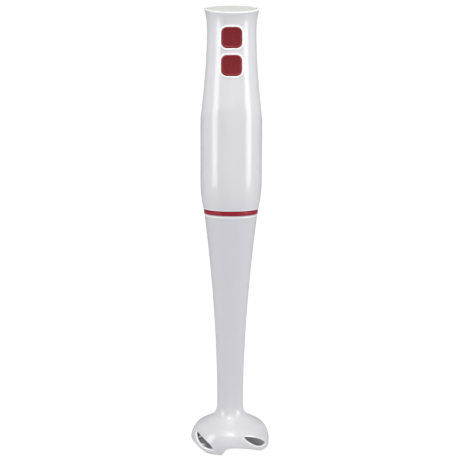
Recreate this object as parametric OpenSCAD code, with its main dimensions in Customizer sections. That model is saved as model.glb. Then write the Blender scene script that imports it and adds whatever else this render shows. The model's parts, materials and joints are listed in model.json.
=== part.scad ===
// Immersion blender with a two-button handle, a pull-off leg and a bell-shaped foot.
// Millimetres. The foot's rim stands on z = 0, the drive line is the Z axis, the buttons face -Y.

/* [Leg] */
// Height of the leg, from the rim to its top edge
leg_h = 199.6; // [165:0.1:240]
// How far the leg's top edge stands in from the handle's lower edge
leg_step = 0.9; // [0.4:0.1:1.5]
// Radius of the neck above the foot
neck_r = 11; // [9:0.1:13]
// Height of the neck's narrowest point
neck_z = 37.8; // [34:0.1:46]
// Wall of the leg and the foot
leg_wall = 2.2; // [1.8:0.1:2.7]

/* [Foot] */
// Radius of the foot at its widest
foot_r = 33.5; // [27.9:0.1:40.2]
// Height of the foot's widest line
foot_wide_z = 3.9; // [3:0.1:5]
// Height of the shoulder where the foot turns towards the neck
shoulder_z = 20; // [18:0.1:22]
// How far the shoulder stands in from the foot's widest line
shoulder_in = 8.6; // [7:0.1:10]
// Height of each arch in the rim
arch_h = 6.2; // [5:0.1:7.5]
// Half length of each leaf-shaped slot
slot_half_l = 12.45; // [10:0.05:13]
// Rise of the slot's upper edge above its chord
slot_rise = 2; // [1:0.1:2.4]
// Drop of the slot's lower edge below its chord
slot_drop = 3.7; // [2:0.1:4]
// Height of the slot's middle
slot_z = 9.5; // [9:0.1:11]
// Slant of the slot
slot_slant = 21.9; // [18:0.1:25]

/* [Handle] */
// Length of the handle, from its lower edge to the middle of its top
handle_l = 164.8; // [160:0.1:198]
// How far the handle's lower edge stands in from the motor barrel
base_in = 2.5; // [1.5:0.1:3]
// Wall of the handle's lower edge, outside the leg's socket
base_wall = 2.6; // [2:0.1:3.2]
// Height over which the lower edge swells to the barrel
swell_h = 23; // [19:0.1:23.5]
// Height of the barrel's upper crease above the handle's lower edge
crease_h = 75; // [74:0.1:90]
// Radius of the waist
waist_r = 20.4; // [20.2:0.1:24.5]
// Height of the waist above the handle's lower edge
waist_h = 145; // [140:0.1:155]
// How far the top flares out from the waist
top_flare = 2.3; // [1.5:0.1:4]
// Slope of the top, down towards the buttons
top_slope = 10.6; // [4:0.1:12]
// Wall of the handle shells
handle_wall = 2.2; // [1.8:0.1:2.6]
// Width of the lip round the top cap
cap_lip = 2; // [1.5:0.1:2.4]
// Depth of the cap's face below the lip
cap_inset = 0.7; // [0.4:0.1:1.5]
// Thickness of the top cap
cap_t = 2.4; // [1.6:0.1:3]
// Height of the red trim ring
ring_h = 3.9; // [3:0.1:6]
// How far the trim ring stands in from the handle's lower edge
ring_step = 0.4; // [0.2:0.1:0.8]

/* [Buttons] */
// Width and height of each button
button_w = 16.6; // [14:0.1:18]
// Corner radius of each button
button_corner = 4.4; // [2:0.1:5.5]
// Distance between the two buttons
button_pitch = 22.2; // [21:0.1:26]
// Height of the upper button's middle above the handle's lower edge
button_h = 140.5; // [138:0.1:143]
// How far the buttons stand proud of the shell
button_proud = 0.8; // [0.4:0.1:1.5]
// Travel of each button
button_travel = 1.5; // [1:0.1:2]
// Gap round each button
button_gap = 0.3; // [0.25:0.05:0.5]
// Width of the raised lip round each opening
opening_lip = 1.1; // [0.8:0.1:1.5]

/* [Leg joint] */
// Gap between the leg and the handle
joint_gap = 0.4; // [0.3:0.1:0.8]
// Wall of the handle's socket
socket_wall = 2.7; // [2.2:0.1:3.4]
// Wall of the leg's collar
collar_wall = 2.6; // [2.2:0.1:3]
// Height of the collar above the leg
collar_h = 12.4; // [11:0.1:13]
// Height of the socket above the handle's lower edge
socket_h = 12.7; // [12.2:0.1:15]
// Clearance between the collar and the socket
collar_clear = 0.3; // [0.2:0.05:0.4]

/* [Drive line] */
// Radius of the drive shaft in the leg
shaft_r = 3; // [2.5:0.1:3.6]
// Radius of the motor's shaft
motor_shaft_r = 2.5; // [2:0.1:3]
// Running clearance of the shafts in their bushes
shaft_clear = 0.04; // [0.02:0.01:0.08]
// Corner radius of the hexagonal drive dog
dog_r = 5.2; // [4.8:0.1:5.8]
// Clearance of the dog in the motor's coupling
dog_clear = 0.4; // [0.3:0.05:0.5]
// Reach of the blade
blade_r = 24; // [20:0.1:26]
// Thickness of the blade
blade_t = 1.2; // [1:0.1:1.6]
// Height of the blade's underside
blade_z = 8.8; // [8.4:0.1:10]

/* [Motor] */
// Radius of the motor's brackets, which sets the barrel round them
motor_r = 22.2; // [21:0.1:26.6]
// Thickness of the rubber dampers between the brackets and the barrel
damper_t = 1.1; // [0.8:0.1:2]
// Gap between the field core and the edge of the brackets
core_in = 0.6; // [0.4:0.1:1]
// Height of the field core
core_h = 22; // [18:0.1:26]
// Radius of the armature
armature_r = 10.8; // [9:0.1:11]
// Air gap between the armature and the field core
air_gap = 0.5; // [0.3:0.1:0.7]
// Height of the coil heads beyond the field core
coil_head = 4; // [3:0.1:4.4]
// Radius of the commutator
commutator_r = 7; // [6:0.1:7.4]
// Height of the commutator
commutator_h = 8; // [7.5:0.1:9]
// Thickness of the motor brackets
bracket_t = 3.5; // [3:0.1:4]
// Gap between the fan and the edge of the brackets
fan_in = 3.2; // [2.5:0.1:6]
// Height of the fan
fan_h = 7; // [5:0.1:7.4]

/* [Cord inlet] */
// Height of the cord inlet above the handle's lower edge
inlet_h = 150; // [149:0.1:153]
// Radius of the bush's bore
cord_bore_r = 3.2; // [2.5:0.1:3.6]

/* [Hidden] */
$fn = 96;

// Curves
function bezier(a, b, c, d, t) =
    a * pow(1 - t, 3) + 3 * b * t * pow(1 - t, 2) + 3 * c * pow(t, 2) * (1 - t) + d * pow(t, 3);
function curve(a, b, c, d, steps) = [for (i = [0:steps]) bezier(a, b, c, d, i / steps)];

// Radii of the barrel, the handle's lower edge and the joint, all set by the motor inside
bay_r = motor_r + damper_t;
barrel_r = bay_r + handle_wall;
handle_base_r = barrel_r - base_in;
ring_r = handle_base_r - ring_step;
leg_top_r = handle_base_r - leg_step;
socket_r = handle_base_r - base_wall;
collar_r = socket_r - socket_wall - collar_clear;
top_r = waist_r + top_flare;

// Foot and leg outline: the foot rises to the shoulder and sweeps into the neck, then the leg widens
shoulder_run = 1.9;
shoulder_r = foot_r - shoulder_in;
fillet_r = neck_r + 2.9;
fillet_z = shoulder_z + (shoulder_r - fillet_r) / shoulder_run;
leg_taper = 1.85;
function leg_r(z) = neck_r + (leg_top_r - neck_r) * pow((z - neck_z) / (leg_h - neck_z), leg_taper);
foot_curve = curve([foot_r, foot_wide_z], [foot_r, foot_wide_z + 7.6],
    [shoulder_r + 3 * shoulder_run, shoulder_z - 3], [shoulder_r, shoulder_z], 10);
fillet_curve = curve([shoulder_r, shoulder_z], [fillet_r, fillet_z],
    [neck_r, fillet_z + 0.4], [neck_r, neck_z], 10);
leg_steps = 14;
tube_curve = [for (i = [1:leg_steps]) let (z = neck_z + (leg_h - neck_z) * i / leg_steps) [leg_r(z), z]];
rim_out = 0.9;
leg_outline = concat([[0, 0], [foot_r - rim_out, 0], [foot_r - rim_out / 4, rim_out]], foot_curve,
    [for (i = [1:10]) fillet_curve[i]], tube_curve, [[0, leg_h]]);

// Hollow of the foot, one wall inside its outline, up to the ceiling that holds the seal and the bush
ceiling_z = shoulder_z + 2.4;
hollow_r = foot_r - leg_wall;
hollow_shoulder = [shoulder_r - leg_wall / norm([1, shoulder_run]),
    shoulder_z - leg_wall * shoulder_run / norm([1, shoulder_run])];
ceiling_r = hollow_shoulder[0] - shoulder_run * (ceiling_z - hollow_shoulder[1]);
foot_hollow = concat([[0, -1], [hollow_r, -1]],
    curve([hollow_r, foot_wide_z], [hollow_r, foot_wide_z + 6.6],
        hollow_shoulder + [2.8 * shoulder_run, -2.8], hollow_shoulder, 10),
    [[ceiling_r, ceiling_z], [0, ceiling_z]]);

// Seal, lower bush and leg cavity, one above the other
seal_l = 4.6;
seal_r = 6;
bush_r = shaft_r + 2;
bush_l = 13;
lower_bush_z = ceiling_z + seal_l;
cavity_z = lower_bush_z + bush_l;
seat_r = leg_top_r - 2.4;
seat_l = 6.6;
seat_z = leg_h - seat_l;
collar_boss_r = shaft_r + 5;
collar_boss_l = 5;
upper_bush_z = seat_z - collar_boss_l;
upper_bush_l = seat_l + collar_boss_l + 0.6;
leg_cavity = concat([[0, cavity_z]],
    [for (i = [0:leg_steps]) let (z = cavity_z + (seat_z - cavity_z) * i / leg_steps)
        [leg_r(z) - leg_wall, z]],
    [[seat_r, seat_z], [seat_r, leg_h + 1], [0, leg_h + 1]]);

// Arches in the rim: a quick rise and a long fall, in degrees round the foot from the front
arch_from = -13;
arch_full = 1;
arch_fall = 8;
arch_to = 54;
arch_mid = (arch_from + arch_to) / 2;
function smooth(t) = t * t * (3 - 2 * t);
function arch_rise(a) = a < arch_full ? smooth((a - arch_from) / (arch_full - arch_from))
    : a < arch_fall ? 1 : 1 - pow((a - arch_fall) / (arch_to - arch_fall), 1.8);
arch_outline = concat([[foot_r * sin(arch_from - arch_mid), -1]],
    [for (a = concat([for (i = [0:6]) arch_from + (arch_full - arch_from) * i / 6],
            [for (i = [0:10]) arch_fall + (arch_to - arch_fall) * i / 10]))
        [foot_r * sin(a - arch_mid), arch_h * arch_rise(a)]],
    [[foot_r * sin(arch_to - arch_mid), -1]]);
cut_from_r = foot_r * 0.55;
cut_l = foot_r * 0.6;
rise_circle_r = (pow(slot_half_l, 2) + pow(slot_rise, 2)) / (2 * slot_rise);
drop_circle_r = (pow(slot_half_l, 2) + pow(slot_drop, 2)) / (2 * slot_drop);

// Joint between the leg and the handle
socket_z = leg_h + joint_gap;
socket_lip_h = 0.4;
socket_lip_r = ring_r - 0.3;
handle_z = socket_z + socket_lip_h + ring_h;
socket_floor_t = 3;
socket_top = handle_z + socket_h;
socket_floor_z = socket_top - socket_floor_t;
socket_flange_r = socket_r + 1;
socket_hole_r = 7.5;
collar_top = leg_h + collar_h;
seal_groove_z = leg_h + 2;
seal_groove_h = 2;
seal_groove_d = 1.4;
seal_w = seal_groove_d + collar_clear - 0.06;
clip_z = leg_h + 7;
clip_wire_r = 0.75;
clip_r = collar_r + 0.55;
groove_half = clip_wire_r + 0.1;
notch_w = 4.6;
notch_h = 3;
notch_clear = 0.3;

// Handle outline: swelling base, straight barrel, taper to the waist, flared top
taper_power = 1.7;
function handle_r(h) =
    h < swell_h ? handle_base_r + (barrel_r - handle_base_r) * (1 - pow(1 - h / swell_h, 2))
    : h < crease_h ? barrel_r
    : h < waist_h ? waist_r + (barrel_r - waist_r) * pow((waist_h - h) / (waist_h - crease_h), taper_power)
    : waist_r + (top_r - waist_r) * pow(min(1, (h - waist_h) / (handle_l - waist_h)), 2);
handle_stations = concat([for (i = [0:7]) swell_h * i / 8], [swell_h],
    [for (i = [0:16]) crease_h + (waist_h - crease_h) * i / 16],
    [for (i = [1:8]) waist_h + (handle_l - waist_h) * i / 8], [handle_l + 8]);
top_z = handle_z + handle_l;
cavity_r = waist_r - handle_wall;
function inner_r(h) = h < waist_h ? handle_r(h) - handle_wall : cavity_r;

// Buttons and switches, stacked back from the front of the shell
button_z = [handle_z + button_h, handle_z + button_h - button_pitch];
flange_out = 0.9;
flange_t = 1.2;
flange_w = button_w + 2 * flange_out;
flange_y = -sqrt(pow(cavity_r - 0.4, 2) - pow(flange_w / 2, 2));
stem_r = 2.2;
stem_end_y = flange_y + flange_t + 0.6;
switch_front_y = stem_end_y + button_travel + 0.3;
switch_d = 5;
switch_w = 12.8;
switch_h = 6.4;
board_y = switch_front_y + switch_d;
board_t = 1.6;
board_back_y = board_y + board_t;
board_w = 24;
board_low_z = button_z[1] - 12;
board_high_z = button_z[0] + 9;
plunger_r = 1.4;
plunger_l = 2.9;
plunger_clear = 0.15;
board_screw_x = 9;
board_screw_z = (button_z[0] + button_z[1]) / 2;
post_r = 2.6;

// Screws
screw_r = 1.5;
screw_clear = 0.1;
screw_head_r = 2.5;
screw_head_h = 1.8;
pilot_r = 1.2;
shell_screw_x = 14.3;
shell_screw_z = handle_z + crease_h + 14.5;
shell_boss_r = 3.6;
shell_boss_l = sqrt(pow(handle_r(shell_screw_z - handle_z) - 0.2, 2)
    - pow(shell_screw_x + shell_boss_r, 2));
shell_screw_grip = shell_boss_l - 3;
clamp_screw_x = 6.5;
clamp_z = handle_z + 136.6;
clamp_post_r = 2.3;
clamp_post_y = 11;
clamp_w = 17;
clamp_h = 6;
clamp_t = 3;
small_screw_r = 1.1;
small_head_r = 2;
small_head_h = 1.3;
board_screw_l = 7;

// Vents on the back, one set beside the fan and one above the motor
vent_w = 16;
vent_h = 1.6;
vent_pitch = 3;

// Cord inlet
inlet_z = handle_z + inlet_h;
inlet_wall_r = cord_bore_r + 1.8;
inlet_flange_r = cord_bore_r + 3;
inlet_boss_r = inlet_flange_r + 1;
inlet_boss_y = waist_r + 1;
inlet_inner_y = cavity_r - 2.2;
inlet_flange_t = 1.6;

// Motor, stacked up from the socket
fan_z = socket_top + 2.5;
lower_bracket_z = fan_z + fan_h + 1.5;
core_z = lower_bracket_z + bracket_t + coil_head + 0.5;
winding_head = 4;
commutator_z = core_z + core_h + winding_head + 1.5;
brush_z = commutator_z + commutator_h / 2;
upper_bracket_z = commutator_z + commutator_h + 2.5;
shaft_top_z = upper_bracket_z + bracket_t + 2.5;
dog_z = leg_h + 4.2;
coupling_cup_z = dog_z + 0.6;
dog_h = 6.8;
cup_depth = dog_z + dog_h + 1 - coupling_cup_z;
coupling_r = dog_r + dog_clear + 3.4;
coupling_neck_r = 6.2;
coupling_neck_z = coupling_cup_z + cup_depth;
motor_shaft_z = coupling_neck_z + 1;
bearing_r = motor_shaft_r + 2.5;
bracket_hub_r = bearing_r + 2.5;
field_r = motor_r - core_in;
fan_r = motor_r - fan_in;
motor_screw_y = motor_r - 2.8;
bracket_ring_r = motor_r - 5;
coil_out_r = bracket_ring_r - 0.6;
coil_in_r = armature_r + 2.6;
window_r = coil_out_r + 0.2;
window_half = 28;
coil_gap_angle = 2.5;
slot_count = 12;
bore_r = armature_r + air_gap;
brush_w = 5;
brush_l = 8;
brush_slot_w = brush_w + 0.2;
holder_w = brush_slot_w + 1.6;
holder_from = commutator_r + 1.6;
holder_to = holder_from + 11;
lead_x = 9.6;
lead_r = 0.8;
lead_y = board_back_y + lead_r;
lead_top_z = board_low_z + 2.5;
spring_wire_r = 0.3;

// Blade end of the drive shaft
nut_h = 3.6;
hub_r = 5.4;
hub_z = blade_z + blade_t;
shaft_low_z = blade_z - nut_h + 0.8;
blade_root_r = 6.4;
blade_bend = 12;
blade_reach = blade_r + 1;
blade_line = [[-blade_reach, blade_z - (blade_reach - blade_bend) * tan(6)], [-blade_bend, blade_z],
    [blade_bend, blade_z], [blade_reach, blade_z + (blade_reach - blade_bend) * tan(14)]];

// Shape helpers
module disc(z, r, h) translate([0, 0, z]) cylinder(r = r, h = h);
module tube(z, outer, inner, h) translate([0, 0, z]) difference() {
    cylinder(r = outer, h = h);
    translate([0, 0, -1]) cylinder(r = inner, h = h + 2);
}
module along_y(x, y, z, r, l) translate([x, y, z]) rotate([-90, 0, 0]) cylinder(r = r, h = l);
function corner(x, z, r, from) =
    [for (i = [0:8]) let (a = from + i * 11.25) [x + r * cos(a), z + r * sin(a)]];
function rounded(w, r) = let (c = w / 2 - r)
    concat(corner(c, c, r, 0), corner(-c, c, r, 90), corner(-c, -c, r, 180), corner(c, -c, r, 270));
module button_prism(z, grow, y_from, y_to)
    translate([0, y_to, z]) rotate([90, 0, 0]) linear_extrude(y_to - y_from)
        polygon(rounded(button_w + 2 * grow, button_corner + grow));
module sector(r, from, to) polygon([[0, 0], r * [cos(from), sin(from)],
    1.2 * r * [cos((from + to) / 2), sin((from + to) / 2)], r * [cos(to), sin(to)]]);

// Handle
module handle_solid(grow) rotate_extrude() polygon(concat([[0, handle_z]],
    [for (h = handle_stations) [handle_r(h) + grow, handle_z + h]], [[0, handle_z + handle_l + 8]]));
module handle_hollow() rotate_extrude() polygon(concat(
    [[0, handle_z - 1], [socket_r, handle_z - 1], [socket_r, socket_floor_z],
        [socket_flange_r, socket_floor_z], [socket_flange_r, socket_top]],
    [[inner_r(socket_h), socket_top]],
    [for (h = handle_stations) if (h > socket_h && h < waist_h) [inner_r(h), handle_z + h]],
    [[cavity_r, handle_z + waist_h], [cavity_r, top_z + 9], [0, top_z + 9]]));
module above_top(depth) translate([0, 0, top_z - depth]) rotate([top_slope, 0, 0])
    translate([-60, -60, 0]) cube([120, 120, 60]);
module cap_recess() intersection() {
    disc(top_z - 20, top_r - cap_lip, 40);
    above_top(cap_inset + cap_t);
}
module button_openings() for (z = button_z) button_prism(z, button_gap, -40, -10);
module opening_lips() intersection() {
    handle_solid(0.5);
    for (z = button_z) button_prism(z, button_gap + opening_lip, -40, -waist_r + 4.5);
}
module handle_front_shell() color("whitesmoke") difference() {
    union() {
        difference() {
            union() {
                handle_solid(0);
                opening_lips();
            }
            handle_hollow();
        }
        for (side = [-1, 1])
            along_y(side * shell_screw_x, -shell_boss_l, shell_screw_z, shell_boss_r, shell_boss_l);
    }
    translate([-60, 0, 0]) cube([120, 60, 600]);
    above_top(0);
    cap_recess();
    button_openings();
    for (side = [-1, 1])
        along_y(side * shell_screw_x, -shell_boss_l + 3, shell_screw_z, pilot_r, shell_boss_l);
}
module vent_slots() for (z = [fan_z, handle_z + crease_h + 24], i = [0:2])
    translate([-vent_w / 2, 10, z + i * vent_pitch - vent_h / 2]) cube([vent_w, 30, vent_h]);
module handle_rear_shell() color("whitesmoke") difference() {
    union() {
        difference() {
            union() {
                handle_solid(0);
                along_y(0, 10, inlet_z, inlet_boss_r, inlet_boss_y - 10);
            }
            handle_hollow();
        }
        for (side = [-1, 1]) {
            along_y(side * shell_screw_x, 0, shell_screw_z, shell_boss_r, shell_boss_l);
            along_y(side * board_screw_x, board_back_y, board_screw_z, post_r,
                sqrt(pow(cavity_r + 0.8, 2) - pow(board_screw_x + post_r, 2)) - board_back_y);
            along_y(side * clamp_screw_x, clamp_post_y, clamp_z, clamp_post_r,
                sqrt(pow(cavity_r + 0.8, 2) - pow(clamp_screw_x + clamp_post_r, 2)) - clamp_post_y);
        }
    }
    difference() {
        translate([-60, -60, 0]) cube([120, 60, 600]);
        for (side = [-1, 1])
            along_y(side * board_screw_x, board_back_y, board_screw_z, post_r, 10 - board_back_y);
    }
    above_top(0);
    cap_recess();
    vent_slots();
    along_y(0, 5, inlet_z, inlet_wall_r, 40);
    for (side = [-1, 1]) {
        along_y(side * shell_screw_x, -1, shell_screw_z, screw_r + screw_clear, 40);
        along_y(side * shell_screw_x, shell_screw_grip, shell_screw_z, screw_head_r + 0.2, 40);
        along_y(side * board_screw_x, board_back_y - 1, board_screw_z, small_screw_r, board_screw_l);
        along_y(side * clamp_screw_x, clamp_post_y - 1, clamp_z, small_screw_r, 6);
    }
}
module top_cap() color("gainsboro") difference() {
    cap_recess();
    above_top(cap_inset);
}
module trim_ring() color("firebrick") rotate_extrude() polygon(concat(
    [[socket_r, socket_z + socket_lip_h + ring_h], [socket_r, socket_z + socket_lip_h]],
    [for (i = [0:8]) [ring_r - 0.4 + 0.4 * sin(i * 22.5), socket_z + socket_lip_h + ring_h * i / 8]]));
module socket_dogs() for (side = [0, 180]) rotate([0, 0, side])
    translate([-notch_w / 2 + notch_clear, -collar_r + 0.4, socket_floor_z - notch_h - 0.5])
        cube([notch_w - 2 * notch_clear, collar_wall - 0.8, notch_h + 0.5]);
module leg_socket() color("whitesmoke") {
    difference() {
        union() {
            disc(socket_z, socket_lip_r, socket_lip_h);
            disc(socket_z, socket_r, socket_top - socket_z);
            disc(socket_floor_z, socket_flange_r, socket_floor_t);
        }
        disc(socket_z - 1, collar_r + collar_clear, socket_floor_z - socket_z + 1);
        disc(clip_z - groove_half, clip_r + clip_wire_r + 0.2, 2 * groove_half);
        disc(socket_z, socket_hole_r, 40);
    }
    socket_dogs();
}
module leg_clip() color("silver") translate([0, 0, clip_z]) rotate([0, 0, 120])
    rotate_extrude(angle = 300) translate([clip_r, 0]) circle(r = clip_wire_r, $fn = 24);

// Screws
module small_screw(x, y, z, l) {
    along_y(x, y - small_head_h, z, small_head_r, small_head_h);
    along_y(x, y, z, small_screw_r, l);
}
module shell_screws() color("silver") for (side = [-1, 1]) {
    along_y(side * shell_screw_x, shell_screw_grip, shell_screw_z, screw_head_r, screw_head_h);
    along_y(side * shell_screw_x, 0, shell_screw_z, screw_r, shell_screw_grip);
    along_y(side * shell_screw_x, -8, shell_screw_z, pilot_r, 8);
}
module board_screws() color("silver") for (side = [-1, 1])
    small_screw(side * board_screw_x, board_y, board_screw_z, board_t + board_screw_l - 1);
module cord_clamp_screws() color("silver") for (side = [-1, 1])
    small_screw(side * clamp_screw_x, clamp_post_y - clamp_t, clamp_z, clamp_t + 5);

// Cord inlet
module cord_inlet_bush() color("dimgray") difference() {
    union() {
        along_y(0, inlet_inner_y, inlet_z, inlet_wall_r, inlet_boss_y - inlet_inner_y);
        translate([0, inlet_boss_y, inlet_z]) rotate([-90, 0, 0])
            cylinder(r1 = inlet_flange_r, r2 = inlet_flange_r - 1.2, h = inlet_flange_t);
    }
    along_y(0, inlet_inner_y - 1, inlet_z, cord_bore_r, 40);
}
module cord_clamp() color("dimgray") difference() {
    translate([-clamp_w / 2, clamp_post_y - clamp_t, clamp_z - clamp_h / 2])
        cube([clamp_w, clamp_t, clamp_h]);
    for (side = [-1, 1])
        along_y(side * clamp_screw_x, clamp_post_y - clamp_t - 1, clamp_z, small_screw_r, clamp_t + 2);
    translate([0, clamp_post_y + 1, clamp_z - clamp_h]) cylinder(r = cord_bore_r, h = 2 * clamp_h);
}

// Switch board
module switch_board() color("darkgreen") difference() {
    translate([-board_w / 2, board_y, board_low_z]) cube([board_w, board_t, board_high_z - board_low_z]);
    for (side = [-1, 1])
        along_y(side * board_screw_x, board_y - 1, board_screw_z, small_screw_r, board_t + 2);
}
module micro_switch(z) color("black") difference() {
    translate([-switch_w / 2, switch_front_y, z - switch_h / 2]) cube([switch_w, switch_d, switch_h]);
    along_y(0, switch_front_y - 1, z, plunger_r + plunger_clear, 4.2);
}
module switch_upper() micro_switch(button_z[0]);
module switch_lower() micro_switch(button_z[1]);
module speed_diode() color("black") {
    translate([-2.6, board_back_y + 2, board_screw_z]) rotate([0, 90, 0]) cylinder(r = 1.35, h = 5.2);
    for (side = [-1, 1]) translate([side * 3.4, board_back_y + 2, board_screw_z]) {
        cube([1.7, 0.7, 0.7], center = true);
        translate([side * 0.5, -0.825, 0]) cube([0.7, 2.35, 0.7], center = true);
    }
}
module suppression_capacitor() color("goldenrod")
    translate([-6.5, board_back_y, board_low_z + 3]) cube([13, 7.5, 11]);
module lead_wires() color("firebrick") for (side = [-1, 1]) {
    translate([side * lead_x, lead_y, brush_z - 2])
        cylinder(r = lead_r, h = lead_top_z - brush_z + 2);
    along_y(side * lead_x, lead_y, brush_z, lead_r, -holder_w / 2 - lead_y);
}

// Buttons
module button_body(z) {
    intersection() {
        handle_solid(button_proud);
        button_prism(z, 0, -40, flange_y + flange_t);
    }
    translate([0, flange_y + flange_t, z]) rotate([90, 0, 0]) linear_extrude(flange_t)
        polygon(rounded(flange_w, button_corner + flange_out));
    along_y(0, flange_y, z, stem_r, stem_end_y - flange_y);
}
module button_upper() color("firebrick") button_body(button_z[0]);
module button_lower() color("firebrick") button_body(button_z[1]);
module switch_plunger(z) color("ivory") along_y(0, stem_end_y, z, plunger_r, plunger_l);
module plunger_upper() switch_plunger(button_z[0]);
module plunger_lower() switch_plunger(button_z[1]);

// Motor frame
module motor_bracket(z, arms, hole_r) difference() {
    union() {
        tube(z, motor_r, bracket_ring_r, bracket_t);
        disc(z, bracket_hub_r, bracket_t);
        for (a = arms) rotate([0, 0, a])
            translate([-bracket_ring_r - 1, -3.2, z]) cube([2 * bracket_ring_r + 2, 6.4, bracket_t]);
    }
    disc(z - 1, bearing_r, bracket_t + 2);
    for (side = [-1, 1])
        translate([0, side * motor_screw_y, z - 1]) cylinder(r = hole_r, h = bracket_t + 2);
}
module lower_bracket() color("silver") motor_bracket(lower_bracket_z, [45, 135], screw_r);
module upper_bracket() color("silver") motor_bracket(upper_bracket_z, [0], screw_r + screw_clear);
module lower_damper() color("dimgray") tube(lower_bracket_z, bay_r, motor_r, bracket_t);
module upper_damper() color("dimgray") tube(upper_bracket_z, bay_r, motor_r, bracket_t);
module motor_bearing(z) color("peru") tube(z, bearing_r, motor_shaft_r + shaft_clear, bracket_t);
module lower_bearing() motor_bearing(lower_bracket_z);
module upper_bearing() motor_bearing(upper_bracket_z);
module coil_windows(r, from, to) for (a = [0, 180]) rotate(a) intersection() {
    circle(r = r);
    sector(2 * r, from, to);
}
module field_core() color("slategray") difference() {
    disc(core_z, field_r, core_h);
    disc(core_z - 1, bore_r, core_h + 2);
    translate([0, 0, core_z - 1]) linear_extrude(core_h + 2)
        coil_windows(window_r, -window_half, window_half);
    for (side = [-1, 1])
        translate([0, side * motor_screw_y, core_z - 1])
            cylinder(r = screw_r + screw_clear, h = core_h + 2);
}
module coil_end(z) difference() {
    tube(z, coil_out_r, coil_in_r, coil_head);
    translate([-30, -0.5, z - 1]) cube([60, 1, coil_head + 2]);
}
module field_coils() color("chocolate") {
    coil_end(core_z - coil_head);
    coil_end(core_z + core_h);
    translate([0, 0, core_z]) linear_extrude(core_h) difference() {
        for (side = [0, 1]) mirror([0, side])
            coil_windows(coil_out_r, coil_gap_angle, window_half - coil_gap_angle);
        circle(r = coil_in_r);
    }
}
module core_spacers() color("silver") for (side = [-1, 1]) translate([0, side * motor_screw_y, 0]) {
    tube(lower_bracket_z + bracket_t, 2.4, screw_r + screw_clear, core_z - lower_bracket_z - bracket_t);
    tube(core_z + core_h, 2.4, screw_r + screw_clear, upper_bracket_z - core_z - core_h);
}
module motor_screws() color("silver") for (side = [-1, 1]) translate([0, side * motor_screw_y, 0]) {
    disc(upper_bracket_z + bracket_t, screw_head_r, screw_head_h);
    disc(lower_bracket_z, screw_r, upper_bracket_z + bracket_t - lower_bracket_z);
}

// Brush gear
module brush_holders() color("goldenrod") for (a = [0, 180]) rotate([0, 0, a]) {
    difference() {
        translate([holder_from, -holder_w / 2, brush_z - holder_w / 2])
            cube([holder_to - holder_from, holder_w, holder_w]);
        translate([holder_from - 1, -brush_slot_w / 2, brush_z - brush_slot_w / 2])
            cube([holder_to - holder_from, brush_slot_w, brush_slot_w]);
    }
    translate([holder_from + 2, -2.5, brush_z + holder_w / 2])
        cube([7, 5, upper_bracket_z - brush_z - holder_w / 2]);
}
module carbon_brushes() color("black") for (a = [0, 180]) rotate([0, 0, a]) difference() {
    translate([commutator_r - 1, -brush_w / 2, brush_z - brush_w / 2]) cube([brush_l, brush_w, brush_w]);
    disc(brush_z - brush_w, commutator_r + 0.1, 2 * brush_w);
}
module coil_spring(r, wire, l, turns) {
    sides = 6;
    steps = turns * 12;
    points = [for (i = [0:steps], k = [0:sides - 1]) let (a = 30 * i, c = r + wire * cos(60 * k))
        [l * i / steps + wire * sin(60 * k), c * cos(a), c * sin(a)]];
    side_faces = [for (i = [0:steps - 1], k = [0:sides - 1])
        let (a = i * sides, b = a + sides, n = (k + 1) % sides) [a + k, a + n, b + n, b + k]];
    ends = [[for (k = [sides - 1:-1:0]) k], [for (k = [0:sides - 1]) steps * sides + k]];
    polyhedron(points, concat(side_faces, ends));
}
module brush_springs() color("silver") for (a = [0, 180]) rotate([0, 0, a])
    translate([commutator_r - 1 + brush_l + spring_wire_r, 0, brush_z])
        coil_spring(1.7, spring_wire_r, holder_to - commutator_r - brush_l - 2 * spring_wire_r, 5);

// Rotor
module armature_shaft() color("silver") disc(motor_shaft_z, motor_shaft_r, shaft_top_z - motor_shaft_z);
module armature_slots(grow) for (i = [0:slot_count - 1]) rotate(i * 360 / slot_count)
    translate([armature_r - 2.6, 0]) circle(r = 1.3 + grow, $fn = 24);
module armature_core() color("slategray") difference() {
    disc(core_z, armature_r, core_h);
    disc(core_z - 1, motor_shaft_r, core_h + 2);
    translate([0, 0, core_z - 1]) linear_extrude(core_h + 2) {
        armature_slots(0.15);
        for (i = [0:slot_count - 1]) rotate(i * 360 / slot_count)
            translate([armature_r - 2, -0.5]) square([4, 1]);
    }
}
module armature_windings() color("chocolate") {
    tube(core_z - winding_head, armature_r - 0.9, motor_shaft_r + 1.2, winding_head);
    tube(core_z + core_h, armature_r - 0.9, motor_shaft_r + 1.2, winding_head);
    translate([0, 0, core_z]) linear_extrude(core_h) armature_slots(0);
}
module commutator() color("peru") difference() {
    disc(commutator_z, commutator_r, commutator_h);
    disc(commutator_z - 1, motor_shaft_r, commutator_h + 2);
    for (i = [0:slot_count - 1]) rotate([0, 0, (i + 0.5) * 360 / slot_count])
        translate([commutator_r - 0.7, -0.2, commutator_z - 1]) cube([2, 0.4, commutator_h + 2]);
}
module fan() color("ivory") difference() {
    union() {
        disc(fan_z, 5, fan_h);
        disc(fan_z + fan_h - 1.5, fan_r, 1.5);
        for (i = [0:9]) rotate([0, 0, i * 36])
            translate([4, -0.6, fan_z + 1]) cube([fan_r - 4.5, 1.2, fan_h - 2]);
    }
    disc(fan_z - 1, motor_shaft_r, fan_h + 2);
}
module motor_coupling() color("ivory") difference() {
    union() {
        disc(coupling_cup_z, coupling_r, cup_depth);
        disc(coupling_neck_z, coupling_neck_r, socket_top - coupling_neck_z);
    }
    translate([0, 0, coupling_cup_z - 1]) cylinder(r = dog_r + dog_clear, h = cup_depth + 1, $fn = 6);
    disc(motor_shaft_z, motor_shaft_r, 20);
}

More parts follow.
